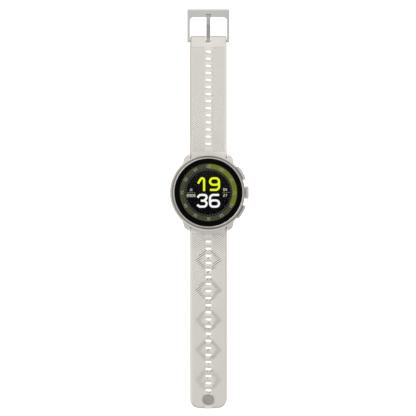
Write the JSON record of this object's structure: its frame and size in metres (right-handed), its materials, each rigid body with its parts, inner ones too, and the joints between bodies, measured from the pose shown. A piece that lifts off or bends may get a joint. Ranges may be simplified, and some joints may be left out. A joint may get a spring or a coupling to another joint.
{
  "type": "gps running watch",
  "caption": "Round polymer sports watch with a steel bezel, lit display, turning crown, side pushers and a ribbed two-part silicone strap with pin buckle and stud.",
  "frame": {"origin": "centre of the sensor window's outer face, on the back of the case", "axes": "+Z out of the display, +Y towards 12 o'clock and the buckle strap, +X towards the crown at 3 o'clock"},
  "size_m": [0.0461, 0.2331, 0.0114],
  "materials": {
    "case_polymer": "fine matt fibre-filled nylon",
    "crown_finish": "satin",
    "bezel_steel": "satin",
    "cover_glass": "polished",
    "gasket_rubber": "soft",
    "display": "gloss black",
    "bracket_alloy": "satin",
    "flex_film": "film",
    "antenna_gold": "plated",
    "back_polymer": "fine matt",
    "screw_steel": "machined",
    "sensor_glass": "polished",
    "baffle_black": "matt",
    "board_green": "solder mask",
    "led_lens": "clear lens",
    "diode_dark": "dark filter",
    "contact_gold": "gold plated",
    "chip_black": "moulded",
    "shield_tin": "tin plate",
    "battery_wrap": "foil pouch",
    "rotor_brass": "sintered",
    "strap_silicone": "soft-touch silicone, ribbed",
    "stud_steel": "blasted",
    "buckle_steel": "satin",
    "pin_steel": "machined"
  },
  "bodies": {
    "case": {"case_body": "case_polymer", "bezel": "bezel_steel", "cover_glass": "cover_glass", "glass_gasket": "gasket_rubber", "back_seal": "gasket_rubber", "display_panel": "display", "display_frame": "bracket_alloy", "flex_cables": "flex_film", "antenna_ring": "antenna_gold", "back_cover": "back_polymer", "pressure_vent": "back_polymer", "back_screws": "screw_steel", "crown_spring": "screw_steel", "upper_button_spring": "screw_steel", "lower_button_spring": "screw_steel", "sensor_window": "sensor_glass", "sensor_baffle": "baffle_black", "main_board": "board_green", "sensor_board": "board_green", "sensor_leds": "led_lens", "sensor_photodiodes": "diode_dark", "charge_contacts": "contact_gold", "board_chips": "chip_black", "key_switches": "chip_black", "shield_can": "shield_tin", "pressure_sensor": "shield_tin", "motor_can": "shield_tin", "battery": "battery_wrap"},
    "upper_pusher": {"upper_button": "case_polymer", "upper_button_seal": "gasket_rubber", "upper_button_clip": "screw_steel"},
    "lower_pusher": {"lower_button": "case_polymer", "lower_button_seal": "gasket_rubber", "lower_button_clip": "screw_steel"},
    "crown_carrier": {"crown_thrust_plate": "screw_steel"},
    "crown": {"crown_knob": "crown_finish", "crown_stem": "screw_steel", "crown_seals": "gasket_rubber", "encoder_wheel": "screw_steel"},
    "motor_rotor": {"motor_rotor": "rotor_brass"},
    "short_root": {"short_strap_1": "strap_silicone", "upper_spring_bar": "screw_steel", "upper_bar_coil": "screw_steel"},
    "upper_release": {"upper_bar_release": "screw_steel"},
    "short_2": {"short_strap_2": "strap_silicone"},
    "short_3": {"short_strap_3": "strap_silicone"},
    "short_4": {"short_strap_4": "strap_silicone"},
    "buckle": {"buckle_frame": "buckle_steel", "buckle_pin": "pin_steel"},
    "tongue": {"buckle_tongue": "buckle_steel"},
    "long_root": {"long_strap_1": "strap_silicone", "lower_spring_bar": "screw_steel", "lower_bar_coil": "screw_steel"},
    "lower_release": {"lower_bar_release": "screw_steel"},
    "long_2": {"long_strap_2": "strap_silicone"},
    "long_3": {"long_strap_3": "strap_silicone"},
    "long_4": {"long_strap_4": "strap_silicone"},
    "long_5": {"long_strap_5": "strap_silicone"},
    "long_6": {"long_strap_6": "strap_silicone", "strap_stud": "stud_steel"}
  },
  "joints": [
    {"name": "upper_button_press", "type": "slide", "parent": "case", "child": "upper_pusher", "axis": [-0.8625, -0.506, 0], "range_m": [0, 0.0005], "stiffness_N_per_m": 1500, "deforming": ["upper_button_spring"]},
    {"name": "lower_button_press", "type": "slide", "parent": "case", "child": "lower_pusher", "axis": [-0.8625, 0.506, 0], "range_m": [0, 0.0005], "stiffness_N_per_m": 1500, "deforming": ["lower_button_spring"]},
    {"name": "crown_press", "type": "slide", "parent": "case", "child": "crown_carrier", "axis": [-1, 0, 0], "range_m": [0, 0.0004], "stiffness_N_per_m": 1500, "deforming": ["crown_spring"]},
    {"name": "crown_turn", "type": "hinge", "parent": "crown_carrier", "child": "crown", "pos_m": [0, 0, 0.0046], "axis": [1, 0, 0], "continuous": true},
    {"name": "motor_spin", "type": "hinge", "parent": "case", "child": "motor_rotor", "pos_m": [0, 0.013, 0.0052], "axis": [1, 0, 0], "continuous": true},
    {"name": "short_strap_pivot", "type": "hinge", "parent": "case", "child": "short_root", "pos_m": [0, 0.0204, 0.0036], "axis": [-1, 0, 0], "range_deg": [-10, 40]},
    {"name": "long_strap_pivot", "type": "hinge", "parent": "case", "child": "long_root", "pos_m": [0, -0.0204, 0.0036], "axis": [1, 0, 0], "range_deg": [-10, 30]},
    {"name": "upper_bar_slide", "type": "slide", "parent": "short_root", "child": "upper_release", "axis": [-1, 0, 0], "range_m": [0, 0.0013], "stiffness_N_per_m": 700, "deforming": ["upper_bar_coil"]},
    {"name": "lower_bar_slide", "type": "slide", "parent": "long_root", "child": "lower_release", "axis": [1, 0, 0], "range_m": [0, 0.0013], "stiffness_N_per_m": 700, "deforming": ["lower_bar_coil"]},
    {"name": "short_strap_bend_1", "type": "hinge", "parent": "short_root", "child": "short_2", "pos_m": [0, 0.03474, 0], "axis": [-1, 0, 0], "range_deg": [0, 25], "stiffness_Nm_per_rad": 0.01},
    {"name": "short_strap_bend_2", "type": "hinge", "parent": "short_2", "child": "short_3", "pos_m": [0, 0.05126, 0], "axis": [-1, 0, 0], "range_deg": [0, 25], "stiffness_Nm_per_rad": 0.01},
    {"name": "short_strap_bend_3", "type": "hinge", "parent": "short_3", "child": "short_4", "pos_m": [0, 0.06778, 0], "axis": [-1, 0, 0], "range_deg": [0, 25], "stiffness_Nm_per_rad": 0.01},
    {"name": "long_strap_bend_1", "type": "hinge", "parent": "long_root", "child": "long_2", "pos_m": [0, -0.03474, 0], "axis": [1, 0, 0], "range_deg": [0, 22], "stiffness_Nm_per_rad": 0.01},
    {"name": "long_strap_bend_2", "type": "hinge", "parent": "long_2", "child": "long_3", "pos_m": [0, -0.05126, 0], "axis": [1, 0, 0], "range_deg": [0, 22], "stiffness_Nm_per_rad": 0.01},
    {"name": "long_strap_bend_3", "type": "hinge", "parent": "long_3", "child": "long_4", "pos_m": [0, -0.06778, 0], "axis": [1, 0, 0], "range_deg": [0, 22], "stiffness_Nm_per_rad": 0.01},
    {"name": "long_strap_bend_4", "type": "hinge", "parent": "long_4", "child": "long_5", "pos_m": [0, -0.08431, 0], "axis": [1, 0, 0], "range_deg": [0, 22], "stiffness_Nm_per_rad": 0.01},
    {"name": "long_strap_bend_5", "type": "hinge", "parent": "long_5", "child": "long_6", "pos_m": [0, -0.10082, 0], "axis": [1, 0, 0], "range_deg": [0, 22], "stiffness_Nm_per_rad": 0.01},
    {"name": "buckle_swing", "type": "hinge", "parent": "short_4", "child": "buckle", "pos_m": [0, 0.0884, 0.0012], "axis": [1, 0, 0], "range_deg": [-85, 35]},
    {"name": "tongue_lift", "type": "hinge", "parent": "buckle", "child": "tongue", "pos_m": [0, 0.0884, 0.0012], "axis": [1, 0, 0], "range_deg": [0, 60]}
  ]
}
